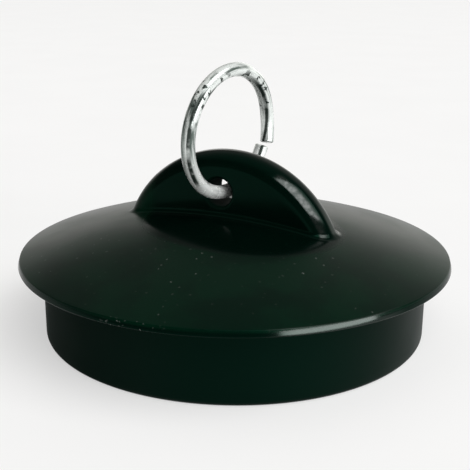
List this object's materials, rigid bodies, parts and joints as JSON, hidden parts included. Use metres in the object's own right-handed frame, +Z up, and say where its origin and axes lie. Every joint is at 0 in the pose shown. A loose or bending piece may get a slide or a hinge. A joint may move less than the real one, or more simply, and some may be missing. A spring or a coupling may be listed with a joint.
{
  "type": "drain stopper",
  "caption": "Round rubber bath plug: hollow straight body, thin sealing flange, shallow dome and a half-moon tab whose eye carries a split wire ring for a chain.",
  "frame": {"origin": "middle of the plug's lower rim, on the plane that the plug stands on", "axes": "+Z up along the plug's axis, +X along the tab, +Y through the eye"},
  "size_m": [0.05, 0.05, 0.0308],
  "materials": {
    "rubber": "smooth black moulded rubber with a soft gloss",
    "bright_wire": "bright plated wire"
  },
  "bodies": {
    "plug": {"rubber_plug": "rubber"},
    "ring": {"wire_ring": "bright_wire"}
  },
  "joints": [
    {"name": "ring_swing", "type": "hinge", "parent": "plug", "child": "ring", "pos_m": [-0.0011, 0, 0.01617], "axis": [0.1942, 0.981, 0], "range_deg": [-106, 89]}
  ]
}
